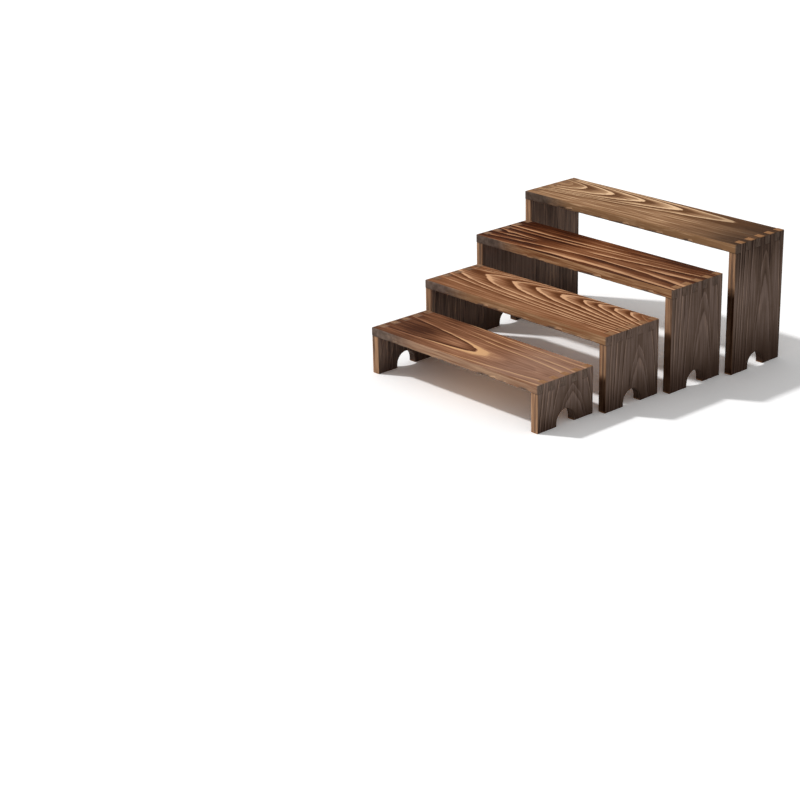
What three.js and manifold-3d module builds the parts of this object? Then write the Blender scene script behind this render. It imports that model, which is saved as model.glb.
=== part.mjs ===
// A stepped set of loose wooden display risers that nest under one another for storage.
// Each riser is an upside-down U of three boards, finger-jointed at the top corners, with an arch
// cut into the foot of each side board.
// Millimetres. +Z is up, +X runs along the boards, and the lowest riser stands in front, towards -Y.
// The origin is on the ground, in the middle of the whole set.

import * as THREE from 'three';
import { mergeVertices } from 'three/addons/utils/BufferGeometryUtils.js';
import Module from 'manifold-3d';

const wasm = await Module();
wasm.setup();

// Driving dimensions
const riserCount = 4;
const boardDepth = 127; // front to back, the same on every riser
const boardThickness = 15;
const tallestLength = 490;
const tallestHeight = 229;
const heightStep = 49; // rise from one tier to the next
const nestClearance = 0.75; // free play at each end of a riser inside the next larger one
const standingGap = 12; // between neighbours, as displayed
const fingersPerCorner = 10; // of both boards together, alternating, the front one on the top board
const glueLine = 0.2; // clearance on every face of a finger joint
const archWidth = 41;
const archHeight = 26.5; // to the crown of the round part
const archSegments = 20;
const easedEdge = 1; // chamfer on the outer arrises
const overrun = 5; // how far a cutting shape runs past the wood that it cuts

// Derived sizes
const lengthStep = 2 * (boardThickness + nestClearance);
const pitch = boardDepth + standingGap;
const setDepth = riserCount * boardDepth + (riserCount - 1) * standingGap;
const fingerWidth = boardDepth / fingersPerCorner;

const topWood = new THREE.MeshStandardMaterial({ color: 0x7d5234, roughness: 0.6, metalness: 0 });
const sideWood = new THREE.MeshStandardMaterial({ color: 0x5c463a, roughness: 0.65, metalness: 0 });

// A closed three.js geometry as a solid for cutting and joining.
function toSolid(geometry) {
  geometry.deleteAttribute('normal');
  geometry.deleteAttribute('uv');
  const merged = mergeVertices(geometry);
  const vertProperties = new Float32Array(merged.attributes.position.array);
  const triVerts = new Uint32Array(merged.index.array);
  return new wasm.Manifold(new wasm.Mesh({ numProp: 3, vertProperties, triVerts }));
}

function toMesh(name, solid, material) {
  const { vertProperties, triVerts } = solid.getMesh();
  const geometry = new THREE.BufferGeometry();
  geometry.setAttribute('position', new THREE.BufferAttribute(vertProperties, 3));
  geometry.setIndex(new THREE.BufferAttribute(triVerts, 1));
  geometry.computeVertexNormals();
  const mesh = new THREE.Mesh(geometry, material);
  mesh.name = name;
  return mesh;
}

function shapeOf(points) {
  return new THREE.Shape(points.map(([x, y]) => new THREE.Vector2(x, y)));
}

// The end view of a riser, as an upside-down U with its two upper corners eased.
function riserProfile(length, height) {
  const end = length / 2;
  const inside = end - boardThickness;
  const underside = height - boardThickness;
  return shapeOf([
    [-end, 0],
    [-inside, 0],
    [-inside, underside],
    [inside, underside],
    [inside, 0],
    [end, 0],
    [end, height - easedEdge],
    [end - easedEdge, height],
    [-end + easedEdge, height],
    [-end, height - easedEdge],
  ]);
}

// The whole riser before it is divided into boards: the profile run from front to back with eased arrises.
function riserBlank(length, height) {
  const geometry = new THREE.ExtrudeGeometry(riserProfile(length, height), {
    depth: boardDepth - 2 * easedEdge,
    bevelEnabled: true,
    bevelThickness: easedEdge,
    bevelSize: easedEdge,
    bevelOffset: -easedEdge,
    bevelSegments: 1,
  });
  geometry.translate(0, 0, easedEdge - boardDepth / 2);
  geometry.rotateX(Math.PI / 2);
  return toSolid(geometry);
}

// The archway through the feet of both side boards: straight jambs under a round crown.
function archway(length) {
  const radius = archWidth / 2;
  const springing = archHeight - radius;
  const outline = new THREE.Shape();
  outline.moveTo(radius, -overrun);
  outline.lineTo(radius, springing);
  outline.absarc(0, springing, radius, 0, Math.PI, false);
  outline.lineTo(-radius, -overrun);
  const geometry = new THREE.ExtrudeGeometry(outline, {
    depth: length + 2 * overrun,
    bevelEnabled: false,
    curveSegments: archSegments,
  });
  geometry.translate(0, 0, -length / 2 - overrun);
  geometry.rotateX(Math.PI / 2);
  geometry.rotateZ(Math.PI / 2);
  return toSolid(geometry);
}

// The room that the top board takes in the blank, with its row of fingers at each end, grown by a clearance.
function topBoardRoom(length, height, clearance) {
  const tip = length / 2 + overrun;
  const root = length / 2 - boardThickness + clearance;
  const front = -boardDepth / 2;
  const rightEnd = [[tip, front - overrun]];
  for (let finger = 1; finger < fingersPerCorner; finger += 1) {
    const endsTopFinger = finger % 2 === 1;
    const joint = front + finger * fingerWidth + (endsTopFinger ? clearance : -clearance);
    const [before, after] = endsTopFinger ? [tip, root] : [root, tip];
    rightEnd.push([before, joint], [after, joint]);
  }
  const lastReach = fingersPerCorner % 2 === 1 ? tip : root;
  rightEnd.push([lastReach, boardDepth / 2 + overrun]);
  const leftEnd = rightEnd.map(([x, y]) => [-x, y]).reverse();
  const geometry = new THREE.ExtrudeGeometry(shapeOf([...rightEnd, ...leftEnd]), {
    depth: boardThickness + clearance + overrun,
    bevelEnabled: false,
  });
  geometry.translate(0, 0, height - boardThickness - clearance);
  return toSolid(geometry);
}

// A block that holds one half of a riser, to part its left board from its right one.
function halfOf(length, height, side) {
  const width = length / 2 + overrun;
  const geometry = new THREE.BoxGeometry(width, boardDepth + 2 * overrun, height + 2 * overrun);
  geometry.translate((side * width) / 2, 0, height / 2);
  return toSolid(geometry);
}

// One riser of three boards, standing on the ground with its middle over the group's origin.
function riser(number) {
  const stepsDown = riserCount - number;
  const length = tallestLength - stepsDown * lengthStep;
  const height = tallestHeight - stepsDown * heightStep;
  const blank = riserBlank(length, height).subtract(archway(length));
  const top = blank.intersect(topBoardRoom(length, height, 0));
  const sides = blank.subtract(topBoardRoom(length, height, glueLine));
  const left = sides.intersect(halfOf(length, height, -1));
  const right = sides.intersect(halfOf(length, height, 1));

  const group = new THREE.Group();
  group.add(toMesh(`riser_${number}_top`, top, topWood));
  group.add(toMesh(`riser_${number}_left_side`, left, sideWood));
  group.add(toMesh(`riser_${number}_right_side`, right, sideWood));
  group.position.y = (boardDepth - setDepth) / 2 + (number - 1) * pitch;
  return group;
}

const risers = new THREE.Group();
for (let number = 1; number <= riserCount; number += 1) {
  risers.add(riser(number));
}

export default risers;
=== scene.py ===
"""Looks for a stepped set of four nesting display risers in torched, brushed softwood.

Each riser has a top board and two side boards with finger-jointed corners. Every board is a fine mesh
whose growth rings are worked out as a solid figure, so the grain on its faces, edges and ends agrees.
"""

import itertools
import math
from collections.abc import Callable, Sequence
from dataclasses import dataclass, replace

import bpy
import numpy as np
from mathutils import Matrix, Vector


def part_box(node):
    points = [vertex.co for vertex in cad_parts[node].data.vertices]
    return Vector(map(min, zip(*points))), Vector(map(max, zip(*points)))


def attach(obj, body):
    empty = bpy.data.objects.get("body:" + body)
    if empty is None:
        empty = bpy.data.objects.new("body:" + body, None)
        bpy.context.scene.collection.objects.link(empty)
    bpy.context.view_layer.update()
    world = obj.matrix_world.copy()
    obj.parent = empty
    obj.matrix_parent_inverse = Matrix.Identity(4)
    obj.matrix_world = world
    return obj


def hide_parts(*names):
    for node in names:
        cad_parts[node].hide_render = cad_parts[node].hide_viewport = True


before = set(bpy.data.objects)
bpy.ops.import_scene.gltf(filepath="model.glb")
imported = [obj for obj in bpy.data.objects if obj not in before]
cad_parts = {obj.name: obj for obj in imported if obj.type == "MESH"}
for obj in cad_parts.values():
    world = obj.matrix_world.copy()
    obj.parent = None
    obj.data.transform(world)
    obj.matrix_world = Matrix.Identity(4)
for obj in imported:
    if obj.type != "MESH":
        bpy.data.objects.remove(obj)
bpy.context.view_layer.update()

# Sizes in millimetres. Lengths, widths and heights of the boards come from the frame.
MM = 0.001
RISERS = (1, 2, 3, 4)
FINGERS = 10
GLUE_LINE = 0.2
ARCH_WIDTH = 41.0
ARCH_HEIGHT = 26.5
TALLEST_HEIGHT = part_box("riser_4_top")[1].z / MM

# Meshes: steps along and across the grain, segments of the archway and the height below which the grid
# follows it, depth of the brushed relief, and the turn in degrees from which an edge is shaded sharp.
GRAIN_STEP = 3.0
CROSS_STEP = 1.3
ARCH_SEGMENTS = 16
ARCH_BLEND_HEIGHT = 60.0
RELIEF_DEPTH = 0.22
SHARP_ANGLE = 50.0
# A point this near to a face or line lies on it.
ON_FACE = 1e-6

# Camera, in metres and degrees.
CAMERA_PLACE = Vector((2.21569, -2.32486, 1.19136))
CAMERA_YAW = 48.80345
CAMERA_PITCH = 21.43878
CAMERA_ROLL = -1.42404
CAMERA_LENS = 88.6148
CAMERA_REACH = 200

# Studio light. The floor is seen a little brighter than white, as in an overexposed photograph, so that
# it is clear white outside the shadow. The light that bounces off it is that of a plain pale floor.
SUN_TRAVEL = Vector((0.562, 0.338, -0.755))
SUN_STRENGTH = 1.95
SUN_SPREAD = 4.0
SKY_STRENGTH = 0.54
FLOOR_SIZE = 60.0
FLOOR_BOUNCE = 0.85
FLOOR_WHITE = 1.13

# Numbers that scatter cells and seeds into repeatable random values.
LATTICE_WEIGHTS = (127.1, 311.7, 74.7)
LATTICE_SEED_WEIGHT = 19.19
LATTICE_SPREAD = 43758.5453


def srgb(code):
    """Linear colour with alpha from a six-digit screen colour."""
    channels = [int(code[k:k + 2], 16) / 255 for k in (0, 2, 4)]
    return [c / 12.92 if c <= 0.04045 else ((c + 0.055) / 1.055) ** 2.4 for c in channels] + [1.0]


def ease(low, high, x):
    """Smooth step from 0 at low to 1 at high."""
    t = np.clip((x - low) / (high - low), 0, 1)
    return t * t * (3 - 2 * t)


def lattice(cells, seed):
    """A repeatable random value from 0 to 1 for each whole-number cell."""
    mixed = sum(cell * weight for cell, weight in zip(cells, LATTICE_WEIGHTS))
    value = np.sin(mixed + seed * LATTICE_SEED_WEIGHT) * LATTICE_SPREAD
    return value - np.floor(value)


def noise(coords, seed):
    """Smooth noise from -1 to 1, with about one swing for each unit of its coordinates."""
    coords = np.broadcast_arrays(*coords)
    floors = [np.floor(c) for c in coords]
    blends = [ease(0, 1, c - f) for c, f in zip(coords, floors)]
    total = 0
    for corner in itertools.product((0, 1), repeat=len(coords)):
        weight = np.prod([b if k else 1 - b for b, k in zip(blends, corner)], axis=0)
        total = total + weight * lattice([f + k for f, k in zip(floors, corner)], seed)
    return 2 * total - 1


# Growth rings

# Lengths and width over which the grain wavers and wanders.
WAVER_LENGTH = 60
WANDER_LENGTH = 110
WANDER_WIDTH = 40
# Rings that fill the board inside and outside the ones that a figure names.
SPARE_RINGS = 60
SPACING_SEED = 3
BOLDNESS_SEED = 5
# How far to either side of its middle the tip of an arch is drawn out.
TIP_WIDTH = 7.0
# Shifts along the board over which a drawn line is averaged, to round its corners.
CORNER_SHIFTS = (-24, -12, 0, 12, 24)
# Pith of the boards with arches: its depth, its slope behind the tallest board, and the power by which
# it slopes more behind a shorter one.
CATHEDRAL_DEPTH = 40
CATHEDRAL_SLOPE = 0.043
CATHEDRAL_POWER = 1.4
# Pith of the boards with stripes: how far it lies in front of the board, and how deep.
STRIPE_ASIDE = 120
STRIPE_DEPTH = 60


@dataclass
class Figure:
    """How the growth rings of a board show: s is along the grain, u across it from the front.

    rings gives the ring number, with its fraction, and how boldly that ring is marked at a point (s, u)
    of the face and d below it. The grain wavers along the board, wanders across it and is pushed aside
    at knots (s, u, length, width, push). Smudges (s, u, length, width, tone) are darker or lighter
    spots. The other lists say how tone, boldness and scorching change along and across the board; on
    the front top board the scorching list paints a sheen. outward is -1 where the light line of a ring
    lies on its inner side.
    """

    rings: Callable
    waver: float = 3.0
    waver_width: float = 9.0
    wander: float = 2.0
    knots: Sequence = ()
    smudges: Sequence = ()
    tone_along: Sequence = ((0, 0),)
    tone_across: Sequence = ((0, 0),)
    bold_along: Sequence = ((0, 1),)
    bold_across: Sequence = ((0, 1),)
    burn_and_sheen_along: Sequence = ((0, 0),)
    outward: int = 1


def between(points, x):
    """Value at x on the broken line through the points."""
    places, values = zip(*points)
    return np.interp(x, places, values)


def smooth_between(points, x):
    """Value at x on the line through the points, with its corners rounded."""
    return sum(between(points, x + shift) for shift in CORNER_SHIFTS) / len(CORNER_SHIFTS)


def arches(axis, pith, tips, inner, outer, faint, draw=0.0, lean=1.0):
    """Rings cut nearly flat, which show as arches one inside another.

    axis(s) is the place across the board that the pith lies under, and pith(s) its distance below the
    face. tips are the places of the arches' tips and how bold they are. The rings inside and outside
    them are about as wide as inner and outer, and faint. draw lengthens the tips, and lean narrows the
    side of the arches towards the back.
    """
    radii, named = zip(*sorted((float(pith(place + draw)), bold) for place, bold in tips))
    spare = np.arange(1, SPARE_RINGS)
    spread = np.cumsum(0.5 + lattice((spare,), SPACING_SEED))
    edges = np.concatenate([radii[0] - inner * spread[::-1], radii, radii[-1] + outer * spread])
    boldness = 2 * faint * lattice((np.arange(len(edges)),), BOLDNESS_SEED)
    boldness[len(spare):len(spare) + len(named)] = named

    def rings(s, u, d):
        aside = u - axis(s)
        aside = aside * np.where(aside > 0, lean, 1.0)
        drawn = s + draw * np.exp(-abs(aside) / TIP_WIDTH)
        number = np.interp(np.hypot(aside, pith(drawn) - d), edges, np.arange(len(edges)))
        return number, boldness[np.rint(number).astype(int)]

    return rings


def drawn_lines(lines, dip):
    """Rings drawn along the face from the back to the front, each as points (s, u, boldness)."""

    def rings(s, u, d):
        courses = [smooth_between([(x, y) for x, y, bold in line], s) for line in lines]
        boldness = np.array([between([(x, bold) for x, y, bold in line], s) for line in lines])
        at = u + dip * d
        steps = itertools.pairwise(courses)
        number = sum(np.clip((upper - at) / (upper - lower), 0, 1) for upper, lower in steps)
        return number, np.take_along_axis(boldness, np.rint(number).astype(int)[None], axis=0)[0]

    return rings


def spots(marks, s, u):
    """Sum of soft round or long spots, each given as its place s and u, length, width and height."""
    total = 0
    for place_s, place_u, long, wide, height in marks:
        total = total + height * np.exp(-((s - place_s) / long) ** 2 - ((u - place_u) / wide) ** 2)
    return total


def ring_at(figure, s, u, d, seed):
    """Ring number and boldness at points of a board, with the grain wavering about its figure."""
    waver = noise((s / WAVER_LENGTH, u / figure.waver_width), seed)
    wander = noise((s / WANDER_LENGTH, u / WANDER_WIDTH), seed + 1)
    along = s + figure.waver * waver
    across = u + figure.wander * wander + spots(figure.knots, s, u)
    number, bold = figure.rings(along, across, d)
    bold = bold * between(figure.bold_along, s) * between(figure.bold_across, u)
    return number * figure.outward, bold


# Figures of the top boards by riser, from the front one to the back one.
TOP_FIGURES = {
    1: Figure(
        arches(
            axis=lambda s: 52 - 0.037 * np.minimum(s, 213),
            pith=lambda s: 50 + 0.05 * s,
            tips=[(213, 1.1), (345, 0.1), (454, 0.6), (600, 0.5)],
            inner=14.0,
            outer=8.0,
            faint=0.4,
        ),
        knots=[(16, 60, 9, 6, 10)],
        smudges=[(66, 52, 40, 24, -0.32), (180, 46, 40, 12, 0.12), (365, 116, 60, 14, 0.14)],
        tone_along=[(0, -0.28), (75, -0.26), (135, -0.06), (200, 0.04), (240, 0.02), (395, 0.0)],
        # Painted sheen: the light grey char colour of this board greys its right part.
        burn_and_sheen_along=[(220, 0.0), (310, 0.4), (395, 0.42)],
        bold_along=[(0, 0.5), (50, 0.65), (140, 0.9), (200, 1.1), (250, 1.1), (300, 1.3), (395, 1.8)],
        outward=-1,
    ),
    2: Figure(
        arches(
            axis=lambda s: 92 + 0.078 * s,
            pith=lambda s: 115 - 0.1 * s - 0.00025 * np.maximum(s - 250, 0) ** 2,
            tips=[(-63, 0.8), (-15, 0.9), (47, 0.8), (109, 1.0), (169, 1.1)]
            + [(220, 1.1), (272, 1.0), (305, 1.0), (339, 1.0), (372, 0.9)],
            inner=3.3,
            outer=7.0,
            faint=0.25,
            draw=9.0,
            lean=2.2,
        ),
        waver=7.0,
        waver_width=12.0,
        knots=[(22, 94, 12, 8, -10)],
        smudges=[(28, 97, 15, 9, -0.5), (74, 85, 22, 6, 0.3)],
        tone_along=[(0, -0.14), (120, -0.06), (200, 0.02), (300, -0.1), (427, -0.12)],
        bold_along=[(0, 1.0), (160, 1.15), (240, 1.15), (290, 1.5)],
        bold_across=[(0, 0.5), (24, 0.8), (45, 1.0)],
    ),
    3: Figure(
        drawn_lines([
            [(0, 142, 0.0), (458, 150, 0.0)],
            [(0, 114, 0.2), (458, 128, 0.2)],
            [(0, 100, 0.3), (218, 106, 0.4), (458, 118, 0.3)],
            [(0, 83, 1.0), (218, 89, 0.8), (300, 94, 0.4), (458, 108, 0.3)],
            [(0, 70, 0.9), (200, 77, 0.8), (260, 82, 0.4), (458, 99, 0.3)],
            [(0, 59, 0.9), (60, 53, 0.9), (95, 49, 0.7), (112, 50, 0.0)]
            + [(215, 58, 0.0), (250, 60, 1.0), (451, 91, 1.0)],
            [(0, 36, 0.8), (60, 41, 1.0), (95, 45, 0.9), (112, 45, 0.0)]
            + [(340, 53, 0.0), (381, 57, 1.0), (441, 64, 1.0)],
            [(0, 14, 0.7), (150, 34, 0.8), (250, 42, 1.1), (350, 41, 1.0), (458, 26, 1.0)],
            [(0, -8, 0.2), (140, 7, 0.9), (240, 12, 1.1), (458, 5, 1.0)],
            [(0, -40, 0.0), (458, -30, 0.0)],
        ], dip=0.4),
        knots=[(30, 48, 12, 7, 5)],
        smudges=[(70, 62, 60, 14, -0.12), (50, 124, 90, 14, -0.2), (360, 118, 110, 16, -0.14)],
        tone_along=[(0, -0.2), (120, -0.16), (200, 0.12), (300, 0.1), (458, 0.02)],
        tone_across=[(0, 0), (88, 0), (127, -0.26)],
        burn_and_sheen_along=[(230, 0.0), (330, 0.14), (458, 0.2)],
    ),
    4: Figure(
        arches(
            axis=lambda s: 88 + 0.04 * s,
            pith=lambda s: 40 * (2 - np.exp(-s / 220)),
            tips=[(70, 1.0), (135, 1.2), (205, 1.5), (288, 1.5), (405, 1.2)],
            inner=4.0,
            outer=10.0,
            faint=0.3,
            lean=1.4,
        ),
        tone_along=[(0, -0.06), (300, -0.04), (490, -0.12)],
        bold_across=[(0, 0.5), (62, 0.7), (80, 1.0)],
        burn_and_sheen_along=[(310, 0.0), (400, 0.45), (450, 0.75), (490, 0.85)],
    ),
}


def cathedral(axis, apex, height, ring_width, crown=0.0):
    """Pointed arches one above another, as where a board is sawn beside the pith of a tapering log.

    apex is how high the boldest arch reaches, and crown the tone at the top of the board.
    """
    slope = CATHEDRAL_SLOPE * (TALLEST_HEIGHT / height) ** CATHEDRAL_POWER
    tones = [(0, -0.18), (0.25, -0.08), (0.55, 0.04), (0.65, 0.04), (1, crown)]
    return Figure(
        arches(
            axis=lambda z: axis + 0 * z,
            pith=lambda z: CATHEDRAL_DEPTH + slope * z,
            tips=[(apex, 0.3), (1.25 * apex, 0.25)],
            inner=ring_width,
            outer=ring_width,
            faint=0.42,
            draw=-6.0,
        ),
        waver=4.0,
        tone_along=[(share * height, tone) for share, tone in tones],
    )


def stripes(slant, ring_width):
    """Long bold lines, as where a board is sawn straight towards the pith."""
    return Figure(
        arches(
            axis=lambda z: slant * z - STRIPE_ASIDE,
            pith=lambda z: STRIPE_DEPTH + 0 * z,
            tips=[(0, 0.8)],
            inner=ring_width,
            outer=ring_width,
            faint=0.62,
        ),
        wander=4.0,
        waver=6.0,
        waver_width=20.0,
        tone_along=[(0, -0.1), (50, 0.0)],
    )


# Side boards by riser: where the right ones' boldest arch ends and their tone at the top, which of the
# left ones has arches too, and how the stripes of the others slant.
RIGHT_APEX = {1: 52, 2: 76, 3: 129, 4: 162}
RIGHT_CROWN = {1: 0.2, 2: 0.05, 3: 0.0, 4: -0.32}
ARCHED_LEFT = 3
LEFT_SLANT = {1: 0.3, 2: 0.15, 4: 0.06}


def side_figure(number, hand, height):
    """Arches on the right boards and on one left board, and stripes on the other left boards."""
    if hand == "right":
        crown = RIGHT_CROWN[number]
        return cathedral(axis=80, apex=RIGHT_APEX[number], height=height, ring_width=6.0, crown=crown)
    if number == ARCHED_LEFT:
        return cathedral(axis=49, apex=0.8 * height, height=height, ring_width=3.6)
    return stripes(slant=LEFT_SLANT[number], ring_width=13.0)


# Board meshes

@dataclass
class Board:
    """A board seen square to its show face: s along the grain, u across it from the front, d below it.

    corner is where s, u and d begin in the scene, and directions are the ways in which they run.
    """

    name: str
    node: str
    riser: int
    hand: str
    length: float
    width: float
    thickness: float
    corner: Vector
    directions: tuple
    figure: Figure
    seed: int

    @property
    def is_top(self):
        return self.hand == "top"


@dataclass
class Arris:
    """How far an edge stands back, and how much is eased off it at the show face and the back face.

    long_edge and end_grain_and_shade say how much it looks like a planed edge and like the end of a board.
    """

    setback: float
    show: float
    back: float
    long_edge: float = 0.0
    end_grain_and_shade: float = 0.0


TOP_ARRISES = {
    "front": Arris(0.0, 1.1, 0.8, long_edge=1.0),
    "rear": Arris(0.0, 1.1, 0.8, long_edge=1.0),
    "tip": Arris(0.0, 1.0, 0.15, end_grain_and_shade=1.0),
    "joint": Arris(0.0, 0.12, 0.12),
}
SIDE_ARRISES = {
    "front": Arris(0.0, 1.1, 1.1, long_edge=1.0),
    "rear": Arris(0.0, 1.1, 1.1, long_edge=1.0),
    "tip": Arris(0.0, 1.0, 0.15, end_grain_and_shade=1.0),
    "foot": Arris(0.0, 0.8, 0.8, end_grain_and_shade=1.0),
    "arch": Arris(0.0, 0.8, 0.8),
    "joint": Arris(GLUE_LINE, 0.12, 0.12),
}
# The middle point of an eased arris lies at this share of its width and depth, where 0.5 would be a
# flat bevel. Between its two arrises an edge has points at these shares of its height.
ROUNDING = 0.3
RIM_STATIONS = (0.0, 0.25, 0.5, 0.75, 1.0)
RIM_LEVELS = len(RIM_STATIONS) + 2
# What each point of a mesh has a share of, from 0 to 1. Under the lower arris of a long edge the end
# grain and seam shares paint shade.
SHARES = ("long_edge", "end_grain_and_shade", "seam", "fresh")
# Two edges run on as one where the sine of the turn between them is less than this.
STRAIGHT_TURN = 0.2
# An edge of the outline within this distance of a board's end or side belongs to it.
NEAR = 1e-3

# Splinters torn from the lower arrises of the top boards: their greatest height and usual length, how
# their places drift along the board, and how far they cut in for each millimetre of height.
RAGGED = {"front": 4.2, "rear": 1.6}
SPLINTER_LENGTH = 36.0
SPLINTER_DRIFT = 0.5
SPLINTER_DRIFT_LENGTH = 60
SPLINTER_LEAN = 0.3
# The range of chance over which a splinter grows from none to its full height.
SPLINTER_CHANCE = (0.1, 0.8)
# Its shape: the power by which it tears up, and where along it the painted shade of its crack begins
# and its end breaks off.
SPLINTER_POWER = 1.5
SPLINTER_CRACK_SHADE = (0.1, 0.3)
SPLINTER_BREAK = (0.6, 0.75)
# Small nicks all along the arris.
NICK_DEPTH = 0.15
NICK_LENGTH = 4.5


def mesh_lines(stops, step):
    """Lines through every stop, with the room between two stops divided evenly."""
    stops = sorted({round(stop, 6) for stop in stops})
    rooms = itertools.pairwise(stops)
    parts = [np.linspace(a, b, math.ceil((b - a) / step) + 1)[:-1] for a, b in rooms]
    return np.concatenate(parts + [stops[-1:]])


def finger_stops(board):
    """Places across a board where one finger ends and the next begins."""
    return [board.width * k / FINGERS for k in range(FINGERS + 1)]


def finger_at(board, u):
    """Number of the finger at a place across the board, from 0 at the front."""
    return np.floor(u * FINGERS / board.width)


def centres(lines):
    """Places halfway between neighbouring lines."""
    return (lines[:-1] + lines[1:]) / 2


def top_plan(board):
    """Grid of a top board: its even fingers reach out to both ends."""
    shoulders = [board.thickness, board.length - board.thickness]
    s_lines = mesh_lines([0, *shoulders, board.length], GRAIN_STEP)
    u_lines = mesh_lines(finger_stops(board), CROSS_STEP)
    s, u = np.meshgrid(centres(s_lines), centres(u_lines), indexing="ij")
    in_joint = (s < shoulders[0]) | (s > shoulders[1])
    keep = ~in_joint | (finger_at(board, u) % 2 == 0)
    return *np.meshgrid(s_lines, u_lines, indexing="ij"), keep


def side_plan(board):
    """Grid of a side board: odd fingers at the top, and an archway between two feet at the bottom."""
    radius = ARCH_WIDTH / 2
    spring = ARCH_HEIGHT - radius
    middle = board.width / 2
    shoulder = board.length - board.thickness
    turns = [math.pi * k / ARCH_SEGMENTS for k in range(ARCH_SEGMENTS + 1)]
    arch_stops = [middle + radius * math.cos(turn) for turn in turns]
    s_lines = mesh_lines([0, spring, ARCH_BLEND_HEIGHT, shoulder, board.length], GRAIN_STEP)
    u_lines = mesh_lines(finger_stops(board) + arch_stops, CROSS_STEP)
    s, u = np.meshgrid(centres(s_lines), centres(u_lines), indexing="ij")
    keep = (s < shoulder) | (finger_at(board, u) % 2 == 1)
    keep &= (s > spring) | (abs(u - middle) > radius)
    s, u = np.meshgrid(s_lines, u_lines, indexing="ij")
    rise = np.sqrt(np.maximum(radius ** 2 - (u - middle) ** 2, 0))
    share = np.clip((ARCH_BLEND_HEIGHT - s) / (ARCH_BLEND_HEIGHT - spring), 0, 1)
    return s + np.where(s >= spring - ON_FACE, rise * share, 0), u, keep


def outline(keep):
    """Edges round the kept cells, each a pair of grid points with the board on its left."""
    room = np.pad(keep, 1)
    edges = [((i, j + 1), (i, j)) for i, j in np.argwhere(keep & ~room[:-2, 1:-1])]
    edges += [((i + 1, j), (i + 1, j + 1)) for i, j in np.argwhere(keep & ~room[2:, 1:-1])]
    edges += [((i, j), (i + 1, j)) for i, j in np.argwhere(keep & ~room[1:-1, :-2])]
    edges += [((i + 1, j + 1), (i, j + 1)) for i, j in np.argwhere(keep & ~room[1:-1, 2:])]
    return edges


def edge_kind(board, middle):
    """Which edge of the board a piece of its outline belongs to."""
    s, u = middle
    if u < NEAR or u > board.width - NEAR:
        return "front" if u < NEAR else "rear"
    if s > board.length - NEAR or (board.is_top and s < NEAR):
        return "tip"
    if board.is_top or s > board.length - board.thickness - NEAR:
        return "joint"
    return "foot" if s < NEAR else "arch"


def sides_around(board, edges, plane):
    """For each point of the outline, the outward normals and the kinds of the edges that meet there."""
    around = {}
    for a, b in edges:
        run = plane[b] - plane[a]
        direction = run / np.linalg.norm(run)
        normal = np.array([direction[1], -direction[0]])
        kind = edge_kind(board, (plane[a] + plane[b]) / 2)
        for point in (a, b):
            around.setdefault(point, []).append((normal, kind))
    return around


def mitre(normals, distances):
    """Step that moves a corner in from each of its edges by that edge's distance."""
    first, last = normals[0], normals[-1]
    turn = first[0] * last[1] - first[1] * last[0]
    if abs(turn) < STRAIGHT_TURN:
        return -np.mean(normals, axis=0) * np.mean(distances)
    return np.linalg.solve([first, last], [-distances[0], -distances[-1]])


def splinters(board, kind, s):
    """How high the lower arris of a top board is torn at a place along it, how pale it is, and how much
    painted shade it has.

    A splinter tears up slowly, over a crack that is painted dark as shade, and breaks off at a pale
    end.
    There are none at the glued joints.
    """
    seed = board.seed + len(kind)
    at = s / SPLINTER_LENGTH + SPLINTER_DRIFT * noise((s / SPLINTER_DRIFT_LENGTH,), seed)
    part = at - np.floor(at)
    size = ease(*SPLINTER_CHANCE, lattice((np.floor(at),), seed + 1))
    size = size * ease(board.thickness, 2 * board.thickness, min(s, board.length - s))
    nicks = NICK_DEPTH * noise((s / NICK_LENGTH,), seed + 2)
    torn = RAGGED[kind] * np.clip(size * part ** SPLINTER_POWER + nicks, 0, 1)
    broken = ease(*SPLINTER_BREAK, part)
    return torn, size * broken, size * ease(*SPLINTER_CRACK_SHADE, part) * (1 - broken)


@dataclass
class Rim:
    """The edge of a board at one point of its outline.

    show and back are where (s, u) the two faces begin, and points (s, u, d) lie between them, each with
    its shares. seam is 1 in a joint.
    """

    show: np.ndarray
    back: np.ndarray
    points: list
    shares: list
    seam: float


def rim_at(board, arrises, corner, sides):
    """The rim at a corner (s, u) of the outline, where the given sides meet."""
    normals, kinds = zip(*sides)
    cuts = [arrises[kind] for kind in kinds]
    ragged = next((kind for kind in kinds if board.is_top and kind in RAGGED), None)
    torn, pale, crack_shade = splinters(board, ragged, corner[0]) if ragged else (0.0, 0.0, 0.0)
    back_cuts = [cut.back + SPLINTER_LEAN * torn * (kind == ragged) for cut, kind in zip(cuts, kinds)]

    place = corner + mitre(normals, [cut.setback for cut in cuts])
    show_step = mitre(normals, [cut.show for cut in cuts])
    back_step = mitre(normals, back_cuts)
    show_drop = max(cut.show for cut in cuts)
    back_drop = max(cut.back for cut in cuts) + torn
    room = board.thickness - show_drop - back_drop
    chain = [(ROUNDING * show_step, ROUNDING * show_drop)]
    chain += [(0 * show_step, show_drop + room * share) for share in RIM_STATIONS]
    chain += [(ROUNDING * back_step, board.thickness - ROUNDING * back_drop)]

    long_edge = max(cut.long_edge for cut in cuts)
    end_grain_and_shade = max(cut.end_grain_and_shade for cut in cuts)
    seam = float("joint" in kinds)
    above_arris = [long_edge, end_grain_and_shade, seam, 0.0]
    # On the arris, a splinter's crack is painted shade and its broken end is pale fresh wood.
    on_arris = [long_edge, max(end_grain_and_shade, crack_shade), seam, pale]
    # Below the lower arris of a long edge the end grain colour and the joints' scorching paint a dark
    # line of shade.
    painted_shade_below_arris = [long_edge, max(end_grain_and_shade, long_edge * board.is_top), max(seam, long_edge), 0.0]
    return Rim(
        show=place + show_step,
        back=place + back_step,
        points=[[*(place + step), depth] for step, depth in chain],
        shares=[above_arris] * len(RIM_STATIONS) + [on_arris, painted_shade_below_arris],
        seam=seam,
    )


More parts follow.
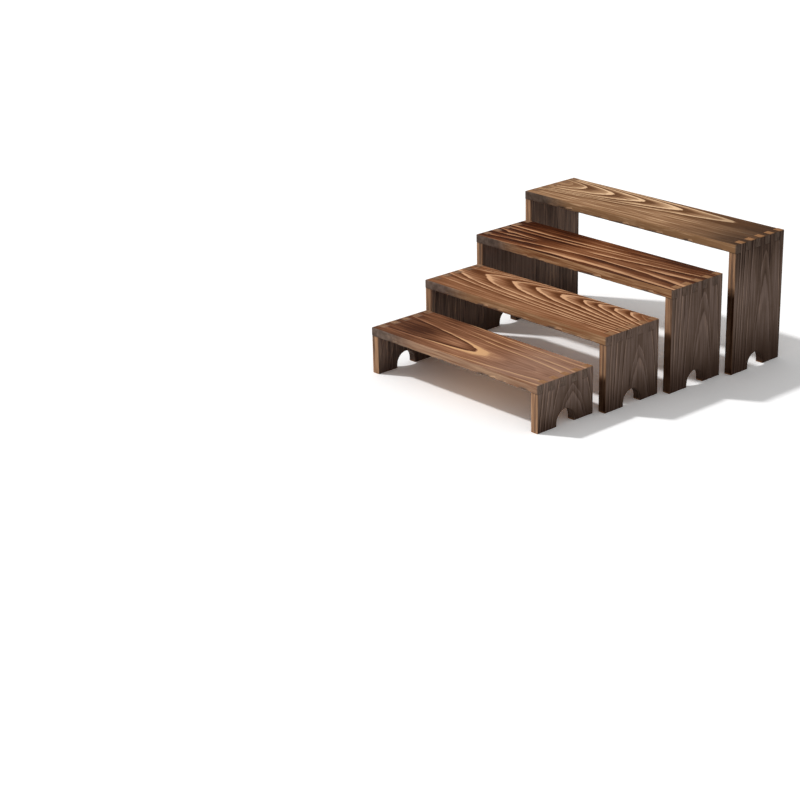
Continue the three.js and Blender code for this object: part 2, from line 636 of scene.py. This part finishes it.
def board_mesh(board, plan, arrises):
    """Points (s, u, d), faces and shares of a board with eased arrises."""
    plane_s, plane_u, keep = plan
    plane = np.stack([plane_s, plane_u], axis=-1)
    # The corners of the kept cells are the points of both faces.
    used = np.zeros(plane_s.shape, bool)
    for shift_i, shift_j in itertools.product((0, 1), repeat=2):
        used[shift_i:shift_i + keep.shape[0], shift_j:shift_j + keep.shape[1]] |= keep
    count = int(used.sum())
    index = np.full(used.shape, -1)
    index[used] = np.arange(count)

    edges = outline(keep)
    around = sides_around(board, edges, plane)
    rims = {point: rim_at(board, arrises, plane[point], sides) for point, sides in around.items()}
    show, back = plane[used], plane[used]
    cap_shares = np.zeros((2 * count, len(SHARES)))
    for point, rim in rims.items():
        show[index[point]] = rim.show
        back[index[point]] = rim.back
        cap_shares[index[point], SHARES.index("seam")] = rim.seam
    points = np.concatenate([
        np.column_stack([show, np.zeros(count)]),
        np.column_stack([back, np.full(count, board.thickness)]),
        *(rim.points for rim in rims.values()),
    ])
    shares = np.concatenate([cap_shares, *(rim.shares for rim in rims.values())])

    first = {point: 2 * count + k * RIM_LEVELS for k, point in enumerate(rims)}

    def chain(point):
        """Points of the mesh from the show face round the rim to the back face."""
        face_point = int(index[point])
        return [face_point, *range(first[point], first[point] + RIM_LEVELS), face_point + count]

    i, j = np.nonzero(keep)
    cap = np.stack([index[i, j], index[i + 1, j], index[i + 1, j + 1], index[i, j + 1]], axis=1)
    faces = cap.tolist() + (cap[:, ::-1] + count).tolist()
    for a, b in edges:
        strips = zip(itertools.pairwise(chain(a)), itertools.pairwise(chain(b)))
        for (upper_a, lower_a), (upper_b, lower_b) in strips:
            faces.append([lower_a, lower_b, upper_b, upper_a])
    return points, faces, shares


# Look of the boards' surface

# How pale the ends of the side boards are, on each riser and on the left. They are dimmer at the arris.
END_LIGHT = {1: 0.8, 2: 0.75, 3: 0.8, 4: 0.9}
LEFT_END_LIGHT = 0.6
ARRIS_END_LIGHT = 0.3
ARRIS_END_RUN = (0.3, 1.4)
# Darkening of the legs' long edges on the risers behind the front one: a little all along, and painted
# shadow of the riser in front from the foot up to a share of the height.
LEG_DARKENING = {1: 0.0, 2: 0.12, 3: 0.12, 4: 0.06}
FOOT_PAINTED_SHADOW = {1: 0.0, 2: 0.87, 3: 0.85, 4: 0.95}
FOOT_SHADOW_SHARE = {1: 0.4, 2: 0.48, 3: 0.58, 4: 0.64}
FOOT_SHADOW_FADE = 0.06
# Darkening of the side boards' faces, from the foot up to a share of the height.
FACE_DARKENING = {1: 0.42, 2: 0.52, 3: 0.54, 4: 0.6}
FACE_DARKENING_SHARE = 0.42
# Charring of the top boards' front edges, which fades away from the left end, and scorching at joints,
# which also paints a line of shade under the lower arris of the long edges.
FRONT_CHAR = {1: 1.0, 2: 1.15, 3: 1.2, 4: 1.2}
FRONT_CHAR_RUN = (130, 25)
SEAM_BURN_AND_SHADE = {"top": 0.7, "side": 0.2}
# The undersides and inner faces are lighter, and the rings of the inner faces are faint.
INSIDE_RUN = (0.4, 1.0)
UNDERSIDE_TONE = 0.5
INNER_TONE = 0.05
INNER_FADE = 0.8
# Brushed relief over one ring: a slow rise, the light line and the fall to the next ring.
RIDGE_RISE = (0.3, 0.95)
RIDGE_RISE_SHARE = 0.4
RIDGE_LINE = (0.74, 0.88)
RIDGE_FALL = (0.95, 1.0)
# Distance between the boards in the solid noise of the wood.
WOOD_SHIFT = 400.0


def ridge(number):
    """Height of the brushed grain from 0 to 1 over one growth ring."""
    part = number - np.floor(number)
    rise = RIDGE_RISE_SHARE * ease(*RIDGE_RISE, part) + (1 - RIDGE_RISE_SHARE) * ease(*RIDGE_LINE, part)
    return rise * (1 - ease(*RIDGE_FALL, part))


def surface(board, points, shares):
    """Values of a board's look at its points, by the names under which the material reads them."""
    s, u, d = points.T
    figure = board.figure
    number, bold = ring_at(figure, s, u, d, board.seed)
    tone = between(figure.tone_along, s) + between(figure.tone_across, u) + spots(figure.smudges, s, u)
    inside = ease(*INSIDE_RUN, d / board.thickness)
    long_edge, end_grain_and_shade, seam, fresh = shares.T
    if board.is_top:
        tone = tone + UNDERSIDE_TONE * inside
        front = long_edge * (u < board.width / 2)
        burn_and_painted_light = np.maximum(between(figure.burn_and_sheen_along, s) * (1 - front), SEAM_BURN_AND_SHADE["top"] * seam)
        charred = front * ease(*FRONT_CHAR_RUN, s)
        end_grain_and_shade = np.maximum(end_grain_and_shade, FRONT_CHAR[board.riser] * charred)
        fresh = fresh * (1 - charred)
    else:
        tone = tone + INNER_TONE * inside
        bold = bold * (1 - INNER_FADE * inside)
        end_light = END_LIGHT[board.riser] * (LEFT_END_LIGHT if board.hand == "left" else 1.0)
        off_arris = ARRIS_END_LIGHT + (1 - ARRIS_END_LIGHT) * ease(*ARRIS_END_RUN, d)
        end_grain_and_shade = end_grain_and_shade * end_light * off_arris
        height = s / board.length
        # The legs' long edges get painted shadow of the riser in front from the foot up; the faces are
        # darker from the foot up.
        shadow_top = FOOT_SHADOW_SHARE[board.riser]
        foot_shadow = ease(shadow_top + FOOT_SHADOW_FADE, shadow_top - FOOT_SHADOW_FADE, height)
        leg_darkening_and_shadow = np.maximum(FOOT_PAINTED_SHADOW[board.riser] * foot_shadow, LEG_DARKENING[board.riser])
        face_darkening = FACE_DARKENING[board.riser] * (1 - long_edge) * ease(FACE_DARKENING_SHARE, 0, height)
        burn_and_painted_light = np.maximum.reduce([long_edge * leg_darkening_and_shadow, face_darkening, SEAM_BURN_AND_SHADE["side"] * seam])
    return {
        "ring": number,
        "bold": bold,
        "tone": tone,
        "burn_and_painted_light": burn_and_painted_light,
        "long_edge": long_edge,
        "end_grain_and_shade": end_grain_and_shade,
        "fresh": fresh,
    }


def build_board(board, material):
    """Makes the object of one board, which stands for its CAD node and moves with its riser."""
    plan = top_plan(board) if board.is_top else side_plan(board)
    points, faces, shares = board_mesh(board, plan, TOP_ARRISES if board.is_top else SIDE_ARRISES)
    look = surface(board, points, shares)
    s, u, d = points.T
    on_face = (d < ON_FACE) | (d > board.thickness - ON_FACE)
    sunk = RELIEF_DEPTH * np.clip(look["bold"], 0, 1) * (1 - ridge(look["ring"])) * on_face
    relief = np.where(d < board.thickness / 2, sunk, -sunk)
    along, across, below = board.directions
    places = np.array(board.corner)
    places = places + np.outer(s, along) + np.outer(u, across) + np.outer(d + relief, below)
    if np.dot(np.cross(along, across), below) > 0:
        faces = [face[::-1] for face in faces]

    mesh = bpy.data.meshes.new(board.name)
    mesh.from_pydata((places * MM).tolist(), [], faces)
    mesh.shade_smooth()
    mesh.set_sharp_from_angle(angle=math.radians(SHARP_ANGLE))
    for name, value in look.items():
        mesh.attributes.new(name, "FLOAT", "POINT").data.foreach_set("value", value.astype(np.float32))
    wood = (points + [0, 0, WOOD_SHIFT * board.seed]).astype(np.float32)
    mesh.attributes.new("wood", "FLOAT_VECTOR", "POINT").data.foreach_set("vector", wood.ravel())
    mesh.materials.append(material)

    piece = bpy.data.objects.new(board.name, mesh)
    bpy.context.scene.collection.objects.link(piece)
    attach(piece, f"riser_{board.riser}")
    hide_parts(board.node)


# Wood material

# Swings of the wood's fine markings in millimetres along, across and through the board.
FEATHERS = (45, 2.2, 2.2)
STREAKS = (110, 4.0, 4.0)
HAIRS = (30, 0.8, 0.8)
CLOUDS = (90, 24, 24)
PORES = (4, 1.2, 1.2)
SCRATCHES = (12, 1.4, 12)
# A growth ring in shares of its width: the halo lightens slowly, the light line begins and then ends.
HALO = (0.25, 0.95)
LINE_RISE = 0.16
LINE_FALL = (1.0, 0.955)
# Weights of the markings on the faces, and where the colours from groove to line stand on that scale.
LINE_LIGHT = 0.44
GROOVE_DARK = -0.42
FACE_HAIRS = 0.4
FACE_CLOUDS = 0.4
FACE_TONE = 0.45
FACE_STOPS = (0.0, 0.35, 0.62, 1.0)
# The same on the long edges, from the body of the wood to fresh wood.
EDGE_STREAKS = 2.2
EDGE_HAIRS = 1.0
EDGE_TONE = 0.42
EDGE_STOPS = (0.0, 0.5, 1.0)
# How patchy the scorching is, and how the end grain covers the wood and is scratched.
BURN_STREAKS = 1.2
END_PORES = 0.7
END_RINGS = -0.1
END_COVER = 1.05
SCRATCH_RUN = (-0.22, 0.22)
# The finest relief and the gloss.
BUMP_HALO = 0.4
BUMP_STREAKS = 0.8
BUMP_HAIRS = 0.7
BUMP_STRENGTH = 0.5
BUMP_DEPTH = 0.25
ROUGHNESS = 0.72
ROUGHNESS_LINES = -0.1
ROUGHNESS_STREAKS = 0.3
SPECULAR = 0.02


class Nodes:
    """Short forms for building the node tree of a material or world."""

    def __init__(self, owner):
        owner.use_nodes = True
        self.tree = owner.node_tree
        self.tree.nodes.clear()

    def add(self, kind, inputs=(), **settings):
        """A new node with these settings, and with values or links at the named inputs."""
        node = self.tree.nodes.new(kind)
        for name, value in settings.items():
            setattr(node, name, value)
        for name, value in dict(inputs).items():
            self.feed(node.inputs[name], value)
        return node

    def feed(self, socket, value):
        """Links another node's output to the socket, or sets it to a plain value."""
        if isinstance(value, bpy.types.NodeSocket):
            self.tree.links.new(value, socket)
        else:
            socket.default_value = value

    def attribute(self, name, output="Fac"):
        """A value that the mesh carries at its points."""
        return self.add("ShaderNodeAttribute", attribute_name=name).outputs[output]

    def math(self, operation, *values, clamp=False):
        """Result of one sum, product or other operation on the values."""
        node = self.add("ShaderNodeMath", operation=operation, use_clamp=clamp)
        for socket, value in zip(node.inputs, values):
            self.feed(socket, value)
        return node.outputs["Value"]

    def total(self, *terms):
        """Sum of the terms, each of which is a value, or a value and its weight."""
        values = [self.math("MULTIPLY", *term) if isinstance(term, tuple) else term for term in terms]
        result = values[0]
        for value in values[1:]:
            result = self.math("ADD", result, value)
        return result

    def step(self, low, high, value):
        """Smooth step from 0 at low to 1 at high."""
        inputs = {"Value": value, "From Min": low, "From Max": high}
        node = self.add("ShaderNodeMapRange", inputs, interpolation_type="SMOOTHSTEP")
        return node.outputs["Result"]

    def fibre(self, vector, swing, detail=2.0):
        """Noise from -0.5 to 0.5 that swings over these lengths along, across and through the board."""
        scale = self.add("ShaderNodeVectorMath", operation="MULTIPLY")
        self.feed(scale.inputs[0], vector)
        scale.inputs[1].default_value = [1 / length for length in swing]
        node = self.add("ShaderNodeTexNoise", {"Scale": 1.0, "Detail": detail, "Roughness": 0.55})
        self.feed(node.inputs["Vector"], scale.outputs[0])
        return self.math("SUBTRACT", node.outputs["Fac"], 0.5)

    def mix(self, share, first, second):
        """The first colour with a share of the second, at the sockets that the node has for colours."""
        node = self.add("ShaderNodeMix", data_type="RGBA")
        self.feed(node.inputs[0], share)
        self.feed(node.inputs[6], first)
        self.feed(node.inputs[7], second)
        return node.outputs[2]

    def ramp(self, value, places, codes):
        """Colour at a value on the scale that has these screen colours at these places."""
        node = self.add("ShaderNodeValToRGB", {"Fac": value})
        elements = node.color_ramp.elements
        while len(elements) < len(places):
            elements.new(1.0)
        for element, place, code in zip(elements, places, codes):
            element.position = place
            element.color = srgb(code)
        return node.outputs["Color"]


@dataclass
class Palette:
    """Screen colours of one board's wood, from its scorched grooves to its light lines.

    edge, end and end_dark are for the long edges and the scratched end grain; on the top boards end and
    end_dark also paint the shade under the lower arrises and in the splinters' cracks. char is what
    scorching leaves, and on the side boards it also paints the shadow on the legs; on the front top
    board it is a light grey that paints a sheen. fresh is the wood where a splinter has broken off.
    """

    groove: str
    body: str
    glow: str
    line: str
    edge: str
    end: str
    end_dark: str
    char: str = "4a3a32"
    fresh: str = "d0a884"


@dataclass
class Grain:
    """How the growth rings are marked: widths in shares of a ring, and strengths.

    groove is the width of the dark groove behind a light line, and line the place where that line
    begins. halo is how strongly the wood lightens towards it. streaks and tear say how streaky the wood
    is and how ragged its lines are.
    """

    groove: float
    streaks: float
    tear: float
    line: float = 0.72
    halo: float = 0.22


def wood_material(name, palette, grain):
    """Torched and brushed softwood: dark grooves, light raised lines, fine fibres and scorched ends."""
    material = bpy.data.materials.new(name)
    nodes = Nodes(material)
    wood = nodes.attribute("wood", "Vector")
    bold = nodes.attribute("bold")

    feather = nodes.fibre(wood, FEATHERS, detail=3.0)
    number = nodes.math("MULTIPLY_ADD", feather, grain.tear, nodes.attribute("ring"))
    part = nodes.math("FRACT", number)
    fall = nodes.step(*LINE_FALL, part)
    core = nodes.math("MULTIPLY", nodes.step(grain.line, grain.line + LINE_RISE, part), fall)
    halo = nodes.math("MULTIPLY", nodes.step(*HALO, part), fall)
    groove = nodes.step(grain.groove, 0.0, part)
    figure = nodes.total((core, LINE_LIGHT), (halo, grain.halo), (groove, GROOVE_DARK))
    figure = nodes.math("MULTIPLY", figure, bold)
    line = nodes.math("MAXIMUM", core, nodes.math("MULTIPLY", halo, BUMP_HALO))

    streak = nodes.fibre(wood, STREAKS, detail=3.0)
    hair = nodes.fibre(wood, HAIRS)
    cloud = nodes.fibre(wood, CLOUDS)
    tone = nodes.attribute("tone")
    fibres = [(streak, grain.streaks), (hair, FACE_HAIRS), (cloud, FACE_CLOUDS)]
    face_value = nodes.total(figure, *fibres, tone, FACE_TONE)
    face_codes = (palette.groove, palette.body, palette.glow, palette.line)
    colour = nodes.ramp(face_value, FACE_STOPS, face_codes)

    edge_value = nodes.total((streak, EDGE_STREAKS), (hair, EDGE_HAIRS), EDGE_TONE)
    edge_colour = nodes.ramp(edge_value, EDGE_STOPS, (palette.body, palette.edge, palette.fresh))
    colour = nodes.mix(nodes.attribute("long_edge"), colour, edge_colour)

    # Patchy scorching, which on the side boards' legs is painted shadow and on the front top board a
    # painted sheen.
    patchy = nodes.total(cloud, (streak, BURN_STREAKS), 1.0)
    burn_and_painted_light = nodes.math("MULTIPLY", nodes.attribute("burn_and_painted_light"), patchy, clamp=True)
    colour = nodes.mix(burn_and_painted_light, colour, srgb(palette.char))

    # Scratched end grain, whose colours also paint the shade under the top boards' lower arrises and in
    # their splinters' cracks.
    pores = nodes.fibre(wood, PORES, detail=3.0)
    cover = nodes.total((pores, END_PORES), (part, END_RINGS), END_COVER)
    end_and_shade_share = nodes.math("MULTIPLY", nodes.attribute("end_grain_and_shade"), cover, clamp=True)
    scratch = nodes.step(*SCRATCH_RUN, nodes.fibre(wood, SCRATCHES))
    end_and_shade_colour = nodes.mix(scratch, srgb(palette.end_dark), srgb(palette.end))
    colour = nodes.mix(end_and_shade_share, colour, end_and_shade_colour)
    colour = nodes.mix(nodes.attribute("fresh"), colour, srgb(palette.fresh))

    raised = nodes.math("MULTIPLY", line, bold)
    height = nodes.total(raised, (streak, BUMP_STREAKS), (hair, BUMP_HAIRS))
    bump_inputs = {"Height": height, "Strength": BUMP_STRENGTH, "Distance": BUMP_DEPTH * MM}
    bump = nodes.add("ShaderNodeBump", bump_inputs)
    shader = nodes.add("ShaderNodeBsdfPrincipled", {
        "Base Color": colour,
        "Roughness": nodes.total((line, ROUGHNESS_LINES), (streak, ROUGHNESS_STREAKS), ROUGHNESS),
        "Specular IOR Level": SPECULAR,
        "Normal": bump.outputs["Normal"],
    })
    output = nodes.add("ShaderNodeOutputMaterial")
    nodes.feed(output.inputs["Surface"], shader.outputs["BSDF"])
    return material


TOP_PALETTES = {
    # The front board's char colour is a light grey, which paints a sheen over its right part.
    1: Palette(
        groove="46281a", body="7c5138", glow="9c6e52", line="d8a87a",
        edge="a28068", end="7a695e", end_dark="54463e", char="9e8273",
    ),
    2: Palette(
        groove="603820", body="86583a", glow="a47656", line="dcac84",
        edge="987454", end="76645a", end_dark="54453d",
    ),
    3: Palette(
        groove="36180a", body="683a20", glow="8e5e3e", line="d09e76",
        edge="9c7452", end="6c5c52", end_dark="4a3d36",
    ),
    4: Palette(
        groove="644228", body="906a4b", glow="ae8866", line="e8c29a",
        edge="8e6c4c", end="64544a", end_dark="463930", char="3e2c20",
    ),
}
TOP_GRAINS = {
    1: Grain(groove=0.14, streaks=1.2, tear=0.08),
    2: Grain(groove=0.5, streaks=1.3, tear=0.2),
    3: Grain(groove=0.8, streaks=1.2, tear=0.2),
    4: Grain(groove=0.6, streaks=1.8, tear=0.14),
}
ARCHED_SIDE = Palette(
    groove="2e211b", body="5f4d42", glow="75635a", line="967d6d",
    edge="a67e60", end="aa7c54", end_dark="8c6240", char="2a160c",
)
STRIPED_SIDE = replace(ARCHED_SIDE, groove="2a201b", body="4e4039", glow="78655a", line="c8a688")
ARCHED_GRAIN = Grain(groove=0.45, streaks=0.95, tear=0.2)
STRIPED_GRAIN = Grain(groove=0.3, streaks=0.95, tear=0.1, line=0.74, halo=0.1)


# The set

def board_of(number, hand):
    """Size, place and figure of one board, taken from its CAD node."""
    node = f"riser_{number}_top" if hand == "top" else f"riser_{number}_{hand}_side"
    low, high = (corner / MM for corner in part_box(node))
    x_axis, y_axis, z_axis = Vector((1, 0, 0)), Vector((0, 1, 0)), Vector((0, 0, 1))
    if hand == "top":
        corner = Vector((low.x, low.y, high.z))
        directions = (x_axis, y_axis, -z_axis)
        length, thickness = high.x - low.x, high.z - low.z
        figure = TOP_FIGURES[number]
    else:
        corner = Vector((low.x if hand == "left" else high.x, low.y, low.z))
        directions = (z_axis, y_axis, x_axis if hand == "left" else -x_axis)
        length, thickness = high.z - low.z, high.x - low.x
        figure = side_figure(number, hand, length)
    return Board(
        name=f"riser_{number}_{hand}_board",
        node=node,
        riser=number,
        hand=hand,
        length=length,
        width=high.y - low.y,
        thickness=thickness,
        corner=corner,
        directions=directions,
        figure=figure,
        seed=10 * number + ("top", "left", "right").index(hand),
    )


def build_set():
    """Makes all boards. Each top has a wood of its own, and the sides share two others."""
    arched = wood_material("arched_side_wood", ARCHED_SIDE, ARCHED_GRAIN)
    striped = wood_material("striped_side_wood", STRIPED_SIDE, STRIPED_GRAIN)
    for number in RISERS:
        top = wood_material(f"riser_{number}_top_wood", TOP_PALETTES[number], TOP_GRAINS[number])
        left = arched if number == ARCHED_LEFT else striped
        for hand, material in (("top", top), ("left", left), ("right", arched)):
            build_board(board_of(number, hand), material)


# Camera, floor and light

def place_camera():
    """Puts the camera where the set is seen as in the photograph."""
    yaw, pitch, roll = (math.radians(angle) for angle in (CAMERA_YAW, CAMERA_PITCH, CAMERA_ROLL))
    level = math.cos(pitch)
    ahead = Vector((-math.sin(yaw) * level, math.cos(yaw) * level, -math.sin(pitch)))
    right = Vector((math.cos(yaw), math.sin(yaw), 0))
    up = right.cross(ahead)
    rolled_right = math.cos(roll) * right + math.sin(roll) * up
    rolled_up = math.cos(roll) * up - math.sin(roll) * right
    data = bpy.data.cameras.new("camera")
    data.lens = CAMERA_LENS
    data.clip_end = CAMERA_REACH
    camera = bpy.data.objects.new("camera", data)
    turn = Matrix((rolled_right, rolled_up, -ahead)).transposed()
    camera.matrix_world = Matrix.Translation(CAMERA_PLACE) @ turn.to_4x4()
    bpy.context.scene.collection.objects.link(camera)
    bpy.context.scene.camera = camera


def seen_directly(nodes):
    """1 for rays from the camera, a reflection or through glass, and 0 for light that bounces about."""
    path = nodes.add("ShaderNodeLightPath").outputs
    straight = nodes.math("MAXIMUM", path["Is Camera Ray"], path["Is Glossy Ray"])
    return nodes.math("MAXIMUM", straight, path["Is Transmission Ray"])


def make_floor():
    """A wide pale floor, which keeps the shadow of the set."""
    half = FLOOR_SIZE / 2
    mesh = bpy.data.meshes.new("floor")
    corners = [(-half, -half, 0), (half, -half, 0), (half, half, 0), (-half, half, 0)]
    mesh.from_pydata(corners, [], [(0, 1, 2, 3)])
    floor = bpy.data.objects.new("floor", mesh)
    bpy.context.scene.collection.objects.link(floor)
    material = bpy.data.materials.new("pale_floor")
    nodes = Nodes(material)
    white = nodes.add("ShaderNodeBsdfDiffuse", {"Color": (FLOOR_WHITE,) * 3 + (1,)})
    pale = nodes.add("ShaderNodeBsdfDiffuse", {"Color": (FLOOR_BOUNCE,) * 3 + (1,)})
    mixed = nodes.add("ShaderNodeMixShader", {"Fac": seen_directly(nodes)})
    nodes.feed(mixed.inputs[1], pale.outputs[0])
    nodes.feed(mixed.inputs[2], white.outputs[0])
    output = nodes.add("ShaderNodeOutputMaterial")
    nodes.feed(output.inputs["Surface"], mixed.outputs[0])
    mesh.materials.append(material)


def make_light():
    """An even sky, which is white where it is seen, and a soft sun from the front left."""
    world = bpy.data.worlds.new("studio")
    bpy.context.scene.world = world
    nodes = Nodes(world)
    strength = nodes.math("MULTIPLY_ADD", seen_directly(nodes), 1 - SKY_STRENGTH, SKY_STRENGTH)
    sky = nodes.add("ShaderNodeBackground", {"Color": (1, 1, 1, 1), "Strength": strength})
    output = nodes.add("ShaderNodeOutputWorld")
    nodes.feed(output.inputs["Surface"], sky.outputs[0])
    data = bpy.data.lights.new("sun", "SUN")
    data.energy = SUN_STRENGTH
    data.angle = math.radians(SUN_SPREAD)
    sun = bpy.data.objects.new("sun", data)
    sun.rotation_mode = "QUATERNION"
    sun.rotation_quaternion = SUN_TRAVEL.to_track_quat("-Z", "Y")
    bpy.context.scene.collection.objects.link(sun)


bpy.context.scene.view_settings.view_transform = "Standard"
place_camera()
make_floor()
make_light()
build_set()

bpy.context.view_layer.update()
